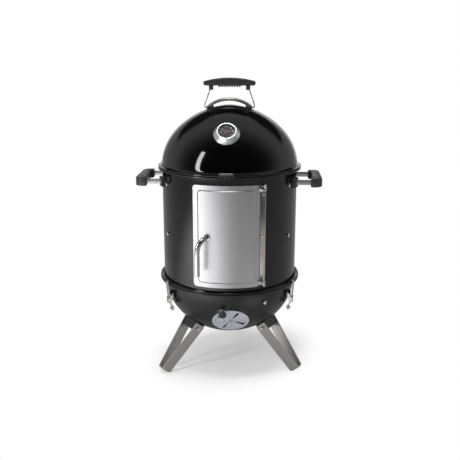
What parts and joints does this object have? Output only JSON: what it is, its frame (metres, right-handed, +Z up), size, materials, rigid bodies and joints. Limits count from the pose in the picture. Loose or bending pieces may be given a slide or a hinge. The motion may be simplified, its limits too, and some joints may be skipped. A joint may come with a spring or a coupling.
{
  "type": "vertical water smoker",
  "caption": "Bullet-shaped charcoal water smoker: fire bowl on bent strap legs, barrel with a curved side door, domed lid with thermometer and folding handle.",
  "frame": {"origin": "on the floor under the axis of the barrel, at the centre of the footprint", "axes": "+Z up along the barrel, -Y is the front with the door, +X to the right seen from the front"},
  "size_m": [0.515, 0.4554, 0.8245],
  "materials": {
    "enamel": "gloss black porcelain enamel",
    "bowl_enamel": "satin black porcelain enamel",
    "stainless": "brushed stainless steel",
    "leg_steel": "brushed stainless strap",
    "black_plastic": "moulded black nylon, fine grain",
    "black_steel": "black painted steel",
    "plated_wire": "bright plated wire",
    "vent_metal": "dull aluminised sheet",
    "dial_face": "printed dark dial",
    "needle_red": "red pointer",
    "lens": "clear glass"
  },
  "bodies": {
    "root": {"fire_bowl": "bowl_enamel", "leg_left": "leg_steel", "leg_right": "leg_steel", "leg_rear": "leg_steel", "leg_bolt_left": "stainless", "leg_bolt_right": "stainless", "leg_bolt_rear": "stainless", "latch_base_left": "black_steel", "latch_base_right": "black_steel", "latch_base_rear": "black_steel", "charcoal_bolt_front": "stainless", "charcoal_bolt_back": "stainless", "charcoal_bolt_left": "stainless", "bowl_vent_rivet": "stainless", "barrel": "enamel", "lower_support_left": "stainless", "lower_support_right": "stainless", "lower_support_rear": "stainless", "upper_support_left": "stainless", "upper_support_right": "stainless", "upper_support_rear": "stainless", "hinge_strip": "stainless", "hinge_pin_lower": "stainless", "hinge_pin_upper": "stainless", "side_strap_right": "stainless", "side_grip_right": "black_plastic", "side_bracket_right_front": "black_plastic", "side_bracket_right_rear": "black_plastic", "side_strap_left": "stainless", "side_grip_left": "black_plastic", "side_bracket_left_front": "black_plastic", "side_bracket_left_rear": "black_plastic"},
    "lid": {"lid": "enamel", "lid_vent_rivet": "stainless", "handle_foot_left": "black_plastic", "handle_foot_right": "black_plastic", "heat_shield": "stainless", "thermometer_bezel": "stainless", "thermometer_dial": "dial_face", "thermometer_lens": "lens"},
    "lid_handle": {"handle_wire": "plated_wire", "lid_grip": "black_plastic"},
    "lid_vent": {"lid_vent_plate": "vent_metal", "lid_vent_knob": "black_plastic"},
    "thermometer_pointer": {"thermometer_needle": "needle_red"},
    "bowl_vent": {"bowl_vent_plate": "vent_metal", "bowl_vent_knob": "black_plastic"},
    "door": {"door_panel": "stainless"},
    "lever": {"door_lever": "stainless", "door_cam": "stainless"},
    "pan": {"water_pan": "enamel"},
    "lower_grid": {"lower_grate": "plated_wire"},
    "upper_grid": {"upper_grate": "plated_wire"},
    "charcoal_grid": {"charcoal_grate": "plated_wire"},
    "latch_lever_left": {"latch_lever_left": "stainless"},
    "latch_hook_left": {"latch_hook_left": "stainless"},
    "latch_lever_right": {"latch_lever_right": "stainless"},
    "latch_hook_right": {"latch_hook_right": "stainless"},
    "latch_lever_rear": {"latch_lever_rear": "stainless"},
    "latch_hook_rear": {"latch_hook_rear": "stainless"}
  },
  "joints": [
    {"name": "lid_lift", "type": "slide", "parent": "root", "child": "lid", "axis": [0, 0, 1], "range_m": [0, 0.2]},
    {"name": "lid_handle_fold", "type": "hinge", "parent": "lid", "child": "lid_handle", "pos_m": [0, 0, 0.7436], "axis": [1, 0, 0], "range_deg": [-70, 70]},
    {"name": "lid_vent_turn", "type": "hinge", "parent": "lid", "child": "lid_vent", "pos_m": [0, 0.15361, 0.68], "axis": [0, 0.753, 0.658], "range_deg": [-45, 0]},
    {"name": "thermometer_needle_turn", "type": "hinge", "parent": "lid", "child": "thermometer_pointer", "pos_m": [0, -0.14716, 0.687], "axis": [0, -0.7173, 0.6968], "range_deg": [-264, 0]},
    {"name": "bowl_vent_turn", "type": "hinge", "parent": "root", "child": "bowl_vent", "pos_m": [0.01088, -0.15562, 0.17], "axis": [0.0553, -0.7903, -0.6102], "range_deg": [-33, 12]},
    {"name": "door_swing", "type": "hinge", "parent": "root", "child": "door", "pos_m": [0.10104, -0.17086, 0.42], "axis": [0, 0, 1], "range_deg": [0, 150]},
    {"name": "door_lever_turn", "type": "hinge", "parent": "door", "child": "lever", "pos_m": [-0.052, -0.18877, 0.42], "axis": [-0.2656, -0.9641, 0], "range_deg": [0, 90]},
    {"name": "water_pan_lift", "type": "slide", "parent": "root", "child": "pan", "axis": [0, 0, 1], "range_m": [0, 0.03]},
    {"name": "lower_grate_lift", "type": "slide", "parent": "pan", "child": "lower_grid", "axis": [0, 0, 1], "range_m": [0, 0.06]},
    {"name": "upper_grate_lift", "type": "slide", "parent": "root", "child": "upper_grid", "axis": [0, 0, 1], "range_m": [0, 0.03]},
    {"name": "charcoal_grate_lift", "type": "slide", "parent": "root", "child": "charcoal_grid", "axis": [0, 0, 1], "range_m": [0, 0.02]},
    {"name": "latch_left_lever", "type": "hinge", "parent": "root", "child": "latch_lever_left", "pos_m": [-0.15871, -0.10705, 0.232], "axis": [-0.5592, 0.829, 0], "range_deg": [0, 100]},
    {"name": "latch_left_hook", "type": "hinge", "parent": "latch_lever_left", "child": "latch_hook_left", "pos_m": [-0.16335, -0.11018, 0.21916], "axis": [-0.5592, 0.829, 0], "range_deg": [-122, 1]},
    {"name": "latch_right_lever", "type": "hinge", "parent": "root", "child": "latch_lever_right", "pos_m": [0.17206, -0.08392, 0.232], "axis": [-0.4384, -0.8988, 0], "range_deg": [0, 100]},
    {"name": "latch_right_hook", "type": "hinge", "parent": "latch_lever_right", "child": "latch_hook_right", "pos_m": [0.17709, -0.08637, 0.21916], "axis": [-0.4384, -0.8988, 0], "range_deg": [-122, 1]},
    {"name": "latch_rear_lever", "type": "hinge", "parent": "root", "child": "latch_lever_rear", "pos_m": [-0.01335, 0.19097, 0.232], "axis": [0.9976, 0.0698, 0], "range_deg": [0, 100]},
    {"name": "latch_rear_hook", "type": "hinge", "parent": "latch_lever_rear", "child": "latch_hook_rear", "pos_m": [-0.01374, 0.19655, 0.21916], "axis": [0.9976, 0.0698, 0], "range_deg": [-122, 1]}
  ],
  "couplings": [
    {"joint": "latch_left_hook", "follows": "latch_left_lever", "ratio": -1.2},
    {"joint": "latch_right_hook", "follows": "latch_right_lever", "ratio": -1.2},
    {"joint": "latch_rear_hook", "follows": "latch_rear_lever", "ratio": -1.2}
  ]
}
